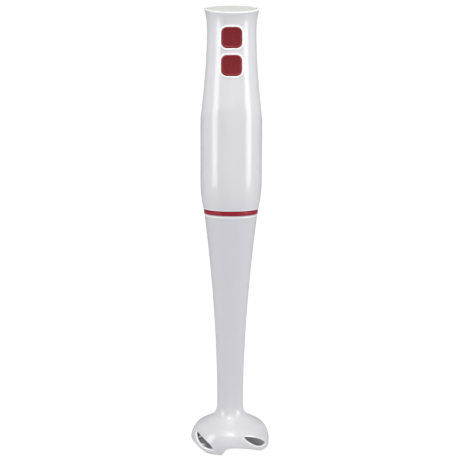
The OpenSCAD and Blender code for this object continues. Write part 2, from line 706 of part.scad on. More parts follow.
// Leg
module leaf_slot() rotate([0, 0, 45]) rotate([90, 0, 0]) translate([0, slot_z, cut_from_r])
    linear_extrude(cut_l) rotate(-slot_slant) intersection() {
        translate([0, slot_rise - rise_circle_r]) circle(r = rise_circle_r, $fn = 180);
        translate([0, drop_circle_r - slot_drop]) circle(r = drop_circle_r, $fn = 180);
    }
module rim_arch() rotate([0, 0, arch_mid]) rotate([90, 0, 0]) translate([0, 0, cut_from_r])
    linear_extrude(cut_l) polygon(arch_outline);
module leg_shell() color("whitesmoke") difference() {
    rotate_extrude() polygon(leg_outline);
    rotate_extrude() polygon(foot_hollow);
    rotate_extrude() polygon(leg_cavity);
    disc(ceiling_z - 1, seal_r, seal_l + 1);
    disc(ceiling_z, bush_r, cavity_z - ceiling_z + 1);
    for (k = [0:3]) rotate([0, 0, 90 * k]) {
        leaf_slot();
        rim_arch();
    }
}
module leg_collar() color("whitesmoke") difference() {
    union() {
        disc(seat_z, seat_r, seat_l);
        disc(upper_bush_z, collar_boss_r, collar_boss_l + seat_l);
        tube(leg_h, collar_r, collar_r - collar_wall, collar_h);
    }
    disc(upper_bush_z - 1, bush_r, 40);
    tube(seal_groove_z, collar_r + 1, collar_r - seal_groove_d, seal_groove_h);
    tube(clip_z - groove_half, collar_r + 1, clip_r - clip_wire_r - 0.2, 2 * groove_half);
    translate([-notch_w / 2, -collar_r - 1, collar_top - notch_h])
        cube([notch_w, 2 * collar_r + 2, notch_h + 1]);
}
module collar_seal() color("black") rotate_extrude() translate([collar_r - seal_groove_d, seal_groove_z])
    polygon([[0, 0], [0.9, 0], [seal_w, 0.6], [seal_w, seal_groove_h - 0.6], [0.9, seal_groove_h],
        [0, seal_groove_h]]);
module upper_bush() color("peru") tube(upper_bush_z, bush_r, shaft_r + shaft_clear, upper_bush_l);
module lower_bush() color("peru") tube(lower_bush_z, bush_r, shaft_r + shaft_clear, bush_l);
module shaft_seal() color("black") difference() {
    disc(ceiling_z, seal_r, seal_l);
    disc(ceiling_z - 1, shaft_r + shaft_clear, seal_l + 2);
    tube(ceiling_z - 1, seal_r - 1.2, shaft_r + 0.9, 3);
}
module shaft_tube() color("silver") tube(cavity_z, bush_r + 1, bush_r, upper_bush_z - cavity_z);

// Blade shaft
module drive_shaft() color("silver") difference() {
    disc(shaft_low_z, shaft_r, dog_z + dog_h - shaft_low_z);
    tube(upper_bush_z + upper_bush_l, shaft_r + 1, shaft_r - 0.5, 0.8);
}
module shaft_clip() color("dimgray") difference() {
    tube(upper_bush_z + upper_bush_l, shaft_r + 1.8, shaft_r - 0.5, 0.8);
    translate([-1.2, 0, leg_h - 1]) cube([2.4, 10, 5]);
}
module driven_coupling() color("ivory") difference() {
    union() {
        translate([0, 0, dog_z]) cylinder(r = dog_r, h = dog_h, $fn = 6);
        disc(dog_z - 2, dog_r + 1, 2);
    }
    disc(dog_z - 3, shaft_r, 20);
}
module blade_hub() color("silver") tube(hub_z, hub_r, shaft_r, ceiling_z - 1.4 - hub_z);
module blade_outline() {
    circle(r = blade_root_r);
    for (a = [0, 180]) rotate(a) polygon([[0, -4.6], [blade_bend, -4.2], [blade_r - 4, -2.4],
        [blade_r - 1, 1], [blade_r, 4.4], [blade_r - 5, 4.2], [blade_bend, 4.4], [0, 4.6]]);
}
module blade() color("silver") difference() {
    intersection() {
        linear_extrude(blade_z + 20) blade_outline();
        translate([0, 10, 0]) rotate([90, 0, 0]) linear_extrude(20) polygon([
            for (p = blade_line) p, for (i = [3:-1:0]) blade_line[i] + [0, blade_t]]);
    }
    disc(0, shaft_r, 40);
}
module blade_nut() color("silver") difference() {
    translate([0, 0, blade_z - nut_h]) cylinder(r = 5, h = nut_h, $fn = 6);
    disc(shaft_low_z, shaft_r, 20);
}

handle_front_shell();
handle_rear_shell();
top_cap();
trim_ring();
leg_socket();
leg_clip();
shell_screws();
cord_inlet_bush();
cord_clamp();
cord_clamp_screws();
switch_board();
board_screws();
switch_upper();
switch_lower();
speed_diode();
suppression_capacitor();
lead_wires();
lower_bracket();
upper_bracket();
lower_damper();
upper_damper();
lower_bearing();
upper_bearing();
field_core();
field_coils();
core_spacers();
motor_screws();
brush_holders();
carbon_brushes();
brush_springs();
armature_shaft();
armature_core();
armature_windings();
commutator();
fan();
motor_coupling();
button_upper();
button_lower();
plunger_upper();
plunger_lower();
leg_shell();
leg_collar();
collar_seal();
upper_bush();
lower_bush();
shaft_seal();
shaft_tube();
drive_shaft();
driven_coupling();
shaft_clip();
blade_hub();
blade();
blade_nut();
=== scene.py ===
import json
import math

import bmesh
import bpy
import numpy as np
from mathutils import Matrix, Vector


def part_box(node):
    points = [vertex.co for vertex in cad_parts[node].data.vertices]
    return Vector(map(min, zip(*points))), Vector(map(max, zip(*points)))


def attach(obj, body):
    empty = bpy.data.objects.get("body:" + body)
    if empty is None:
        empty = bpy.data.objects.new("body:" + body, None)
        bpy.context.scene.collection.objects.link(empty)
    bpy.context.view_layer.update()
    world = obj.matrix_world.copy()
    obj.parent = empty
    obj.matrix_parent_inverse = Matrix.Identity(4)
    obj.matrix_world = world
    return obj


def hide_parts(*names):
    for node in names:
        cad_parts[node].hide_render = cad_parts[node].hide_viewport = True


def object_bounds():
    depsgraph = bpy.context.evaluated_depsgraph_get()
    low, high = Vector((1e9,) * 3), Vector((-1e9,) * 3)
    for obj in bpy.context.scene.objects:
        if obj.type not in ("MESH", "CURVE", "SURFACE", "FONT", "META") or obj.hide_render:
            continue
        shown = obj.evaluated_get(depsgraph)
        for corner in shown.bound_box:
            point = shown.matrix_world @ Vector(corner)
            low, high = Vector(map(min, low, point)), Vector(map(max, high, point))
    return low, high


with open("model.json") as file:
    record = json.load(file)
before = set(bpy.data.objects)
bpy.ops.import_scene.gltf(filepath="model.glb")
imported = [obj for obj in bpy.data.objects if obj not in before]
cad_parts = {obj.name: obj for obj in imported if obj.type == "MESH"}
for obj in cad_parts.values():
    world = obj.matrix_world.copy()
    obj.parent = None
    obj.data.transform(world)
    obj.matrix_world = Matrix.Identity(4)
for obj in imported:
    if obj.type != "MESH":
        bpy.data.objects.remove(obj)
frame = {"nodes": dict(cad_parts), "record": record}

cadBox = [list(corner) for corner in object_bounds()]
low, high = (np.array(corner) for corner in cadBox)
print("frame loaded, height", round(float(high[2] - low[2]), 4))


# All shapes below are worked out in millimetres and turned to metres when the mesh is made.

def gridFaces(rows, columns, start):  # quads between neighbouring rows and columns of one grid
    first = np.arange(rows - 1)[:, None] * columns + np.arange(columns - 1)[None, :] + start
    return np.stack([first, first + 1, first + columns + 1, first + columns], -1).reshape(-1, 4)


def makePiece(name, grids, body, replaced=(), slot="white_abs", material=None):
    # A grid holds x, y, z for each point, and may hold a fourth value: its share of painted light, a painted
    # highlight on the white parts and the button rims and painted shade on the trim band. The materials read
    # it as paintedLightShare.
    points, faces, start = [], [], 0
    for grid in grids:
        flatGrid = np.asarray(grid, float).reshape(-1, grid.shape[-1])
        points.append(np.pad(flatGrid, ((0, 0), (0, 4 - grid.shape[-1]))))
        faces.append(gridFaces(grid.shape[0], grid.shape[1], start))
        start += len(points[-1])
    points = np.concatenate(points)
    mesh = bpy.data.meshes.new(name)
    mesh.from_pydata(points[:, :3] / 1000, [], np.concatenate(faces))
    # Painted light: each point's share of painted highlight and painted shade, kept as an attribute
    mesh.attributes.new("paintedLightShare", "FLOAT", "POINT").data.foreach_set("value", points[:, 3])
    work = bmesh.new()
    work.from_mesh(mesh)
    bmesh.ops.remove_doubles(work, verts=work.verts, dist=3e-6)  # joins the grids, closes seams and poles
    bmesh.ops.recalc_face_normals(work, faces=work.faces)
    openEdges = sum(not edge.is_manifold for edge in work.edges)
    work.to_mesh(mesh)
    work.free()
    mesh.shade_smooth()
    mesh.set_sharp_from_angle(angle=math.radians(50))
    piece = bpy.data.objects.new(name, mesh)
    bpy.context.scene.collection.objects.link(piece)
    mesh.materials.append(material or materials[slot])
    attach(piece, body)
    if replaced:
        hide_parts(*replaced)
    print("piece", name, len(mesh.polygons), "faces,", openEdges, "open edges")
    return piece


def roundedEdge(distance, radius):
    # A quarter circle: how far a rounded edge has dropped at this distance from it.
    left = np.clip(radius - distance, 0, radius)
    return radius - np.sqrt(radius ** 2 - left ** 2)


def edgeRows(radius, steps=5):  # distances from an edge that follow its quarter circle evenly
    return radius * (1 - np.cos(np.linspace(0, math.pi / 2, steps)))


def bezier(a, b, c, d, steps):
    # A cubic curve: the four points weighted by the powers of t and 1 - t.
    t = np.linspace(0, 1, steps)[:, None]
    a, b, c, d = (np.array(p, float) for p in (a, b, c, d))
    return a * (1 - t) ** 3 + 3 * b * t * (1 - t) ** 2 + 3 * c * t ** 2 * (1 - t) + d * t ** 3


def lathe(profile, columns=96, axis="z", centre=(0, 0, 0)):
    # A profile of (radius, height, edge share) points turned once round its axis.
    profile = np.asarray(profile, float)
    angle = np.linspace(0, 2 * math.pi, columns + 1)[None, :]
    across, along = profile[:, :1], profile[:, 1:2] + 0 * angle
    first, second = across * np.sin(angle), -across * np.cos(angle)
    grid = {"z": (first, second, along), "y": (first, along, second)}[axis]
    share = (profile[:, 2:3] if profile.shape[1] > 2 else 0) + 0 * along
    return np.stack([part + shift for part, shift in zip(grid, centre)] + [share], -1)


def roundedSquare(q, half, corner, grow=0.0):
    # q lies on the rim of the square from -1 to 1. The core is the square less its corner radius,
    # and the outline lies one corner radius plus the growth beyond the core's nearest point.
    half = np.array(half, float)
    core = np.clip(q * half, corner - half, half - corner)
    way = q * half - core
    return core + (corner + grow) * way / np.linalg.norm(way, axis=-1, keepdims=True)


def around(u, v):  # the rim of a rectangle as one closed run of points, from its low corner
    right, left = np.full(len(v) - 1, u[-1]), np.full(len(v) - 1, u[0])
    top, bottom = np.full(len(u) - 1, v[-1]), np.full(len(u) - 1, v[0])
    return np.stack([np.concatenate([u, right, u[-2::-1], left]),
                     np.concatenate([bottom, v, top, v[-2::-1]])[:2 * (len(u) + len(v)) - 3]], -1)


def squareRim(rim):  # the same run of points scaled to the square from -1 to 1
    lowest, highest = rim.min(0), rim.max(0)
    return 2 * (rim - lowest) / (highest - lowest) - 1


# Materials

def colour(code):  # an sRGB hex value to linear
    parts = [int(code[i:i + 2], 16) / 255 for i in (1, 3, 5)]
    return [p / 12.92 if p <= 0.04045 else ((p + 0.055) / 1.055) ** 2.4 for p in parts] + [1.0]


def addNode(tree, kind, settings=None, **links):  # a node with its settings, and links into its sockets
    node = tree.nodes.new(kind)
    for key, value in (settings or {}).items():
        if key in node.inputs:
            node.inputs[key].default_value = value
        else:
            setattr(node, key, value)
    for key, source in links.items():
        tree.links.new(source, node.inputs[key.replace("_", " ")])
    return node


def newMaterial(name, shader, tint=None, rough=None, bump=None, edge=None):
    # shader holds the Principled sockets. tint is (second colour, size mm, detail), rough is (lowest,
    # highest, size mm, stretch along x, y, z), bump is (size mm, height mm, stretch), and edge is the painted
    # light colour where paintedLightShare is 1: painted highlight and painted shade along edges.
    material = bpy.data.materials.new(name)
    material.use_nodes = True
    tree = material.node_tree
    body = tree.nodes["Principled BSDF"]
    for key, value in shader.items():
        body.inputs[key].default_value = value
    place = addNode(tree, "ShaderNodeTexCoord").outputs["Object"]
    if tint:
        second, size, detail = tint
        noise = addNode(tree, "ShaderNodeTexNoise", {"Scale": 1000 / size, "Detail": detail}, Vector=place)
        mix = addNode(tree, "ShaderNodeMix", {"data_type": "RGBA"}, Factor=noise.outputs["Fac"])
        mix.inputs[6].default_value = shader["Base Color"]
        mix.inputs[7].default_value = colour(second)
        tree.links.new(mix.outputs[2], body.inputs["Base Color"])
        if edge:
            # Painted light: the edge colour is mixed in by the paintedLightShare attribute
            share = addNode(tree, "ShaderNodeAttribute", {"attribute_name": "paintedLightShare"})
            paintedLightMix = addNode(tree, "ShaderNodeMix", {"data_type": "RGBA"}, Factor=share.outputs["Fac"])
            tree.links.new(mix.outputs[2], paintedLightMix.inputs[6])
            paintedLightMix.inputs[7].default_value = colour(edge)
            tree.links.new(paintedLightMix.outputs[2], body.inputs["Base Color"])
    if rough:
        lowest, highest, size, stretch = rough
        turned = addNode(tree, "ShaderNodeMapping", {"Scale": stretch}, Vector=place)
        noise = addNode(tree, "ShaderNodeTexNoise", {"Scale": 1000 / size, "Detail": 3.0},
                        Vector=turned.outputs[0])
        span = addNode(tree, "ShaderNodeMapRange", {"From Min": 0.3, "From Max": 0.7, "To Min": lowest,
                                                    "To Max": highest}, Value=noise.outputs["Fac"])
        tree.links.new(span.outputs[0], body.inputs["Roughness"])
    if bump:
        size, height, stretch = bump
        turned = addNode(tree, "ShaderNodeMapping", {"Scale": stretch}, Vector=place)
        noise = addNode(tree, "ShaderNodeTexNoise", {"Scale": 1000 / size, "Detail": 2.0},
                        Vector=turned.outputs[0])
        relief = addNode(tree, "ShaderNodeBump", {"Strength": 1.0, "Distance": height / 1000},
                         Height=noise.outputs["Fac"])
        tree.links.new(relief.outputs[0], body.inputs["Normal"])
    return material


def plastic(code, ior, roughness, more=None):  # shader values of a surface that isn't metal
    return {"Base Color": colour(code), "IOR": ior, "Roughness": roughness, **(more or {})}


def metal(code, roughness, more=None):
    return {"Base Color": colour(code), "Metallic": 1.0, "Roughness": roughness, **(more or {})}


even = (1.0, 1.0, 1.0)
drawn = (0.04, 1.0, 1.0)  # stretches a noise along x
materials = {
    # ABS moulded in a polished tool: a bright, slightly wavy gloss over a cool white
    # Its pure white edge colour is a painted highlight on the lip, the base line and the beads round the
    # buttons.
    "white_abs": newMaterial("glossyWhiteAbs", plastic("#E0E0E3", 1.54, 0.18), tint=("#DCDCE0", 30, 2.0),
                             rough=(0.15, 0.21, 9, even), bump=(14, 0.03, even), edge="#FFFFFF"),
    # ABS with a fine spark-eroded texture: a soft, greenish grey satin
    "cap_abs": newMaterial("satinGreyAbs", plastic("#D8DAD5", 1.54, 0.42), tint=("#D3D5CF", 12, 2.0),
                           rough=(0.38, 0.48, 3, even), bump=(0.7, 0.02, even)),
    # Pigmented ABS, semi-gloss: deep red with a faint grain
    # Its darker red edge colour is painted shade on the trim band's flat faces and at the top and bottom of
    # its bulge.
    "red_abs": newMaterial("semiGlossRedAbs", plastic("#A41830", 1.54, 0.34, {"Specular IOR Level": 0.3}),
                           tint=("#9E1830", 6, 2.0), rough=(0.3, 0.4, 2, even), bump=(0.9, 0.02, even),
                           edge="#840C1C"),
    # Glass-filled nylon, moulded: a dull black
    "black_plastic": newMaterial("dullBlackNylon", plastic("#1B1B1D", 1.53, 0.5), tint=("#242426", 4, 2.0),
                                 rough=(0.44, 0.6, 2, even), bump=(0.5, 0.03, even)),
    # Unfilled nylon: milky and slightly translucent
    "natural_nylon": newMaterial("milkyNylon", plastic("#E9E4D4", 1.53, 0.4, {
                                     "Subsurface Weight": 0.15, "Subsurface Radius": (0.002,) * 3}),
                                 tint=("#E2DCC8", 8, 2.0), rough=(0.36, 0.46, 3, even)),
    # Nitrile rubber: near black and matt
    "soft_rubber": newMaterial("mattRubber", plastic("#232325", 1.52, 0.72), tint=("#2C2C2E", 3, 3.0),
                               rough=(0.66, 0.8, 1.2, even), bump=(0.4, 0.03, even)),
    # Steel with bright zinc plating: faintly blue and cloudy
    "zinc_steel": newMaterial("zincPlatedSteel", metal("#C3C6CA", 0.34), tint=("#B2B7BF", 3, 3.0),
                              rough=(0.26, 0.44, 1.5, even)),
    # Stainless steel, brushed along its length: grey with long fine lines
    "stainless": newMaterial("brushedStainless", metal("#C8C7C4", 0.24), tint=("#BAB9B6", 5, 2.0),
                             rough=(0.17, 0.36, 0.5, drawn), bump=(0.4, 0.004, drawn)),
    # Porous bronze soaked with oil: brown and grainy
    "sintered_bronze": newMaterial("porousBronze", metal("#9C7147", 0.5), tint=("#7E5A38", 0.8, 3.0),
                                   rough=(0.4, 0.65, 0.6, even), bump=(0.3, 0.03, even)),
    # Brass strip, pressed: a bright yellow, dulled in patches
    "holder_brass": newMaterial("pressedBrass", metal("#D0A94F", 0.3), tint=("#BF983F", 4, 2.0),
                                rough=(0.24, 0.4, 2, even)),
    # Copper wire under clear enamel: drawn as coarse turns so that they show
    "enamelled_copper": newMaterial("enamelledCopper", metal("#A5502A", 0.28, {"Coat Weight": 0.5}),
                                    tint=("#8A3F1F", 1.2, 2.0), bump=(0.8, 0.25, (1.0, 1.0, 0.15))),
    # Turned copper bars, darkened where the brushes run
    "commutator_copper": newMaterial("turnedCopper", metal("#B9714A", 0.3), tint=("#8C5236", 5, 2.0),
                                     rough=(0.24, 0.42, 0.6, (1.0, 1.0, 8.0))),
    # Stacked silicon steel sheets, 0.5 mm each: fine level lines
    "lamination_steel": newMaterial("stackedSteel", metal("#7E8288", 0.42), tint=("#6B6F75", 6, 2.0),
                                    bump=(0.5, 0.1, (0.02, 0.02, 1.0))),
    # Carbon and graphite, pressed and baked: a dull black with a grey sheen
    "carbon": newMaterial("pressedCarbon", plastic("#26272A", 1.9, 0.55), tint=("#303135", 1, 3.0),
                          rough=(0.45, 0.65, 0.8, even)),
    # Glass and epoxy board under green resist: the weave shows as a faint mottle
    "circuit_laminate": newMaterial("greenLaminate", plastic("#2B5B39", 1.55, 0.35),
                                    tint=("#376B44", 0.9, 2.0), rough=(0.3, 0.42, 1, even)),
    # Film capacitor's potting box: a plain ochre
    "film_yellow": newMaterial("pottedYellow", plastic("#C79A2C", 1.5, 0.4), tint=("#B98E26", 4, 2.0),
                               rough=(0.35, 0.5, 3, even)),
    # PVC on the inner leads, extruded: a soft red
    "lead_sheath": newMaterial("softPvc", plastic("#A5302C", 1.53, 0.45), tint=("#962A27", 5, 2.0),
                               rough=(0.4, 0.52, 2, even)),
}
# The leg's ABS: a copy of the handle's white made a touch greyer and more violet as painted shade for the
# leg. Its pure white edge colour is a painted highlight on the slot edges, the rim and the top edge.
shadedLegAbs = newMaterial("shadedGlossyLegAbs", plastic("#D9D9DD", 1.54, 0.15), tint=("#D5D5D9", 30, 2.0),
                     rough=(0.13, 0.17, 9, even), bump=(14, 0.01, even), edge="#FFFFFF")
# The buttons' ABS carries a darker red and a finer, duller grain than the trim band
# Its purer, brighter red edge colour is a painted highlight on the button rims.
buttonAbs = newMaterial("darkRedAbs", plastic("#801D24", 1.54, 0.4, {"Specular IOR Level": 0.3}),
                        tint=("#761A20", 4, 2.0), rough=(0.36, 0.46, 1.5, even), bump=(0.7, 0.03, even),
                        edge="#8E0C12")
for part in frame["record"]["subparts"]:
    node = frame["nodes"][part["node"]]
    node.data.materials.clear()
    node.data.materials.append(materials[part["material_slot"]])
print("materials", len(materials) + 2)


# Handle: two glossy half shells that meet at y = 0
ringLow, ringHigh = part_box("trim_ring")
handle = {
    "bottom": ringHigh.z * 1000,  # where the shells stand on the trim ring
    "length": 164.8,  # to the middle of the sloping top
    "baseRadius": 23.0,
    "barrelRadius": 25.5,
    "swellHeight": 23.0,
    "creaseHeight": 75.0,  # the barrel ends in a crease that climbs towards the front
    "creaseTilt": 9.5,
    "waistRadius": 20.25,
    "waistHeight": 145.0,
    "taperPower": 1.7,
    "topRadius": 22.9,
    "topSlope": math.tan(math.radians(10.6)),
    "flarePower": 2.5,
    "wall": 1.3,
    "lipInner": 20.7,  # radius inside the lip round the cap
    "lipRound": 0.7,
    "baseRound": 0.35,
    "seamRound": 0.15,
    "topZone": 1.2,  # depth of the rows that follow the sloping top
    "lipPaintedHighlight": 0.2,  # width over which the lip's painted highlight fades
    "basePaintedHighlight": (0.5, 1.0),  # heights between which the painted highlight along the base fades
    "guessRadius": 21.0,  # radius that the first pass starts from
}


def handleRadius(front, h, topHeight):
    # front is the cosine of the angle from the front. A swelling parabola, a straight barrel up to the
    # tilted crease, a power curve down to the waist, and another out to the rim.
    crease = handle["creaseHeight"] + handle["creaseTilt"] * front
    swell = handle["baseRadius"] + (handle["barrelRadius"] - handle["baseRadius"]) * (
        1 - np.clip(1 - h / handle["swellHeight"], 0, 1) ** 2)
    down = np.clip((handle["waistHeight"] - h) / (handle["waistHeight"] - crease), 0, 1)
    taper = handle["waistRadius"] + (
        handle["barrelRadius"] - handle["waistRadius"]) * down ** handle["taperPower"]
    out = np.clip((h - handle["waistHeight"]) / (topHeight - handle["waistHeight"]), 0, 1)
    flare = (handle["topRadius"] - handle["waistRadius"]) * out ** handle["flarePower"]
    return np.where(h < crease, swell, taper) + flare


def handlePoint(u, v, drop, facing, flat, split, inner=False):
    # u is x in millimetres up to the flat half width, and beyond it a share of the angle to the seam.
    # v is the height, stretched above the split so that its last row follows the sloping top.
    share = np.clip(np.abs(u) - flat, 0, 1)
    x = np.clip(u, -flat, flat)

    def angleAt(radius):
        a = np.arcsin(np.clip(x / radius, -1, 1))
        return np.where(u < 0, -1, 1) * (np.abs(a) + share * (math.pi / 2 - np.abs(a)))

    angle = angleAt(handle["guessRadius"] + 0 * u)
    front = -facing * np.cos(angle)
    depth = 0.0
    for _ in range(2):  # the second pass knows how far in the point lies
        topHeight = handle["length"] - (handle["topRadius"] - depth) * front * handle["topSlope"]
        zone = handle["topZone"]
        h = np.where(v < split, v, np.where(v > handle["length"] - zone, topHeight - (handle["length"] - v),
                     split + (v - split) * (topHeight - zone - split) / (handle["length"] - zone - split)))
        radius = handleRadius(front, h, topHeight)
        fromTop = roundedEdge(topHeight - h, handle["lipRound"])
        seam = radius * (math.pi / 2 - np.abs(angleAt(radius)))
        if inner:
            depth = np.maximum(handle["wall"], radius - handle["lipInner"]) - fromTop
        else:
            rounding = roundedEdge(v, handle["baseRound"]) + roundedEdge(seam, handle["seamRound"])
            depth = drop + fromTop + rounding
    radius = radius - depth
    angle = angleAt(radius)
    # Painted highlight: a white line painted along the lip's rounding and along the base, where the shell
    # meets the band
    lip = np.clip((handle["lipRound"] + handle["lipPaintedHighlight"] - topHeight + h) / handle["lipPaintedHighlight"], 0, 1)
    full, none = handle["basePaintedHighlight"]
    base = np.clip((none - h) / (none - full), 0, 1)
    return np.stack([radius * np.sin(angle), facing * radius * np.cos(angle), handle["bottom"] + h,
                     np.maximum(lip, base)], -1)


def bead(distance, width, height):  # a half round bead, at its full height at half its width
    return -height * np.sqrt(np.clip(1 - (2 * distance / width - 1) ** 2, 0, 1))


def shellGrids(uRuns, vRuns, holes, point):
    # A sheet cut into cells by runs of u and v. A cell with a hole is filled with rings that go from
    # the hole's outline to the cell's rim. The sheet is drawn twice, outside and inside, and joined.
    grids = []
    for i, u in enumerate(uRuns):
        for j, v in enumerate(vRuns):
            if (i, j) in holes:
                hole = holes[(i, j)]
                rim = around(u, v)
                q = squareRim(rim)
                rows = [roundedSquare(q, hole["half"], hole["corner"], d) + hole["centre"]
                        for d in hole["rows"]]
                spread = np.linspace(0, 1, hole["steps"] + 1)[1:]
                rows += [rows[len(hole["rows"]) - 1] * (1 - share) + rim * share for share in spread]
                cell = np.array(rows)
                distance = np.concatenate([hole["rows"], np.full(len(spread), 99.0)])[:, None]
                drop = hole["shape"](distance) + 0 * cell[..., 0]
                outer = point(cell[..., 0], cell[..., 1], drop)
                if "raise" in hole:
                    outer = hole["raise"](outer, distance)
                # Painted highlight: a hole may carry a share of painted highlight by distance from its edge
                if "bright" in hole:
                    outer[..., 3] = hole["bright"](distance)
                inner = point(cell[..., 0], cell[..., 1], 0, inner=True)
                grids += [outer, inner, np.stack([outer[0], inner[0]])]
            else:
                uu, vv = np.meshgrid(u, v)
                outer, inner = point(uu, vv, 0 * uu), point(uu, vv, 0, inner=True)
                grids += [outer, inner]
            for edge, onEdge in ((np.s_[0], j == 0), (np.s_[-1], j == len(vRuns) - 1),
                                 (np.s_[:, 0], i == 0), (np.s_[:, -1], i == len(uRuns) - 1)):
                if onEdge:  # the sheet's own rim joins its outside to its inside
                    grids.append(np.stack([outer[edge], inner[edge]]))
    return grids


def runs(*stops):  # runs of values between stops, each given as (from, to, steps)
    return [np.linspace(a, b, n + 1) for a, b, n in stops]


baseRows = edgeRows(handle["baseRound"])
topRows = handle["length"] - edgeRows(handle["lipRound"])[::-1]
seamShare = np.array([0.99, 0.995, 0.999, 1.0])  # close rows that round the parting line


def handleRuns(flat, uInner, vStops):
    side = flat + np.concatenate([np.linspace(0, 0.97, 20), seamShare])
    uRuns = [-side[::-1]] + runs(*uInner) + [side]
    vRuns = runs(*vStops)
    vRuns[0] = np.concatenate([baseRows, vRuns[0][1:]])
    vRuns[-1] = np.concatenate([vRuns[-1][:-1], [handle["length"] - handle["topZone"]], topRows])
    return uRuns, vRuns


button = {
    "half": 8.1,  # half its width
    "corner": 4.3,
    "gap": 0.2,
    "pitch": 22.2,
    "upper": 140.5,
    "beadWidth": 1.6,
    "beadHeight": 0.6,
    "beadFade": 0.3,  # width over which the bead's painted highlight fades
    "outerRows": (1.75, 2.0),  # distances of the first rows beyond the bead
    "proud": 0.8,
    "fieldHalf": 6.6,
    "fieldDrop": 0.45,
    "dish": 0.35,  # share by which the field is deeper in its middle
    "slope": 0.75,  # width of the rim's inner slope
    "edge": 0.55,  # radius of the outer edge
    "rimPaintedLight": 0.6,  # width over which the rim's painted highlight, a brighter red, grows
    "sideY": -18.2,
    "flangeY": -15.24,
    "flangeThick": 1.2,
    "flangeLip": 0.9,
    "stem": 2.2,
    "stemEnd": -13.44,
    "barHalf": (0.5, 2.6),
    "barCorner": 0.4999,
    "barBase": 1.3,  # where the bars stand, as a share of the field's drop
    "barSink": 0.3,
    "barEdge": 0.3,
    "barRise": 0.25,
}
openingHalf = button["half"] + button["gap"]
cellHalf = button["pitch"] / 2
beadTurn = np.linspace(0, math.pi, 12)
openingRows = np.concatenate([button["beadWidth"] / 2 * (1 - np.cos(beadTurn)), button["outerRows"]])


def beadPaintedHighlight(distance):
    # Painted highlight: the bead round each button opening is painted white, fading beyond its width
    fade = button["beadFade"]
    return np.clip((button["beadWidth"] + fade / 2 - distance) / fade, 0, 1)


openings = {}
for row, height in ((2, button["upper"]), (1, button["upper"] - button["pitch"])):
    openings[(1, row)] = {
        "centre": np.array([0.0, height]), "half": (openingHalf, openingHalf),
        "corner": button["corner"] + button["gap"], "rows": openingRows, "steps": 3,
        "shape": lambda d: bead(d, button["beadWidth"], button["beadHeight"]), "bright": beadPaintedHighlight}
frontFlat = 11.2
lowerCell, upperCell = button["upper"] - 3 * cellHalf, button["upper"] - cellHalf
frontSplit = button["upper"] + cellHalf
lastStop = handle["length"] - handle["topZone"] - 0.5  # the top zone's own rows follow
frontStops = [(0, lowerCell, 76), (lowerCell, upperCell, 34), (upperCell, frontSplit, 34),
              (frontSplit, lastStop, 14)]
frontRuns = handleRuns(frontFlat, [(-frontFlat, frontFlat, 34)], frontStops)


def frontPoint(u, v, drop, inner=False):
    return handlePoint(u, v, drop, -1, frontFlat, frontSplit, inner)


makePiece("handleFrontSkin", shellGrids(*frontRuns, openings, frontPoint), "handle", ["handle_front_shell"])

rear = {
    "flat": 17.6,
    "slotColumn": 11.0,
    "ventHalf": (8.0, 0.8),
    "ventPitch": 3.0,
    "ventHeights": (15.2, 99.0),  # lowest slot of each set
    "ventEdge": 0.35,
    "screwX": 14.3,
    "screwHeight": 89.5,
    "screwHole": 2.7,
    "screwEdge": 0.3,
    "screwMargin": 5.0,
    "inletHeight": 150.0,
    "inletHole": 5.0,
    "inletMargin": 8.0,
    "bossY": 21.4,
    "bossRows": (0, 0.1, 0.25, 0.8, 1.3, 1.6, 1.8, 2.0, 2.1, 2.2, 2.27, 2.35, 2.5, 2.65, 2.9),
    "bossSide": ((0, 0.25, 1.6, 2.0, 2.2, 2.35, 2.9), (0.88, 1, 1, 0.88, 0.5, 0.12, 0)),
}
ventLow, ventHigh = (height - rear["ventPitch"] / 2 for height in rear["ventHeights"])
setHeight = 3 * rear["ventPitch"]
screwLow = rear["screwHeight"] - rear["screwMargin"]
inletLow = rear["inletHeight"] - rear["inletMargin"]
rearSplit = rear["inletHeight"] + rear["inletMargin"]


def ventCells(base):  # one run of rows for each slot of a set
    return [(base + slot * rear["ventPitch"], base + slot * rear["ventPitch"] + rear["ventPitch"], 8)
            for slot in range(3)]


rearColumns = [(-rear["flat"], -rear["slotColumn"], 12), (-rear["slotColumn"], rear["slotColumn"], 30),
               (rear["slotColumn"], rear["flat"], 12)]
rearStops = ([(0, ventLow, 12)] + ventCells(ventLow)
             + [(ventLow + setHeight, screwLow, 52), (screwLow, ventHigh, 18)] + ventCells(ventHigh)
             + [(ventHigh + setHeight, inletLow, 30), (inletLow, rearSplit, 24), (rearSplit, lastStop, 8)])
rearRuns = handleRuns(rear["flat"], rearColumns, rearStops)
rearHoles = {}
for base, stop in zip(rear["ventHeights"], (1, 6)):
    for slot in range(3):
        rearHoles[(2, stop + slot)] = {
            "centre": np.array([0.0, base + slot * rear["ventPitch"]]), "half": rear["ventHalf"],
            "corner": rear["ventHalf"][1] - 0.01, "rows": edgeRows(rear["ventEdge"], 4), "steps": 2,
            "shape": lambda d: roundedEdge(d, rear["ventEdge"])}
for side, column in ((-1, 1), (1, 3)):
    rearHoles[(column, 5)] = {
        "centre": np.array([side * rear["screwX"], rear["screwHeight"]]), "half": (rear["screwHole"],) * 2,
        "corner": rear["screwHole"] - 0.01, "rows": edgeRows(rear["screwEdge"], 4), "steps": 4,
        "shape": lambda d: roundedEdge(d, rear["screwEdge"])}


def raiseBoss(points, distance):
    # The boss round the cord inlet: its face is flat, and its side falls to the shell over a short fillet.
    points[..., 1] += np.interp(distance, *rear["bossSide"]) * (rear["bossY"] - points[..., 1])
    return points


def rearPoint(u, v, drop, inner=False):
    return handlePoint(u, v, drop, 1, rear["flat"], rearSplit, inner)


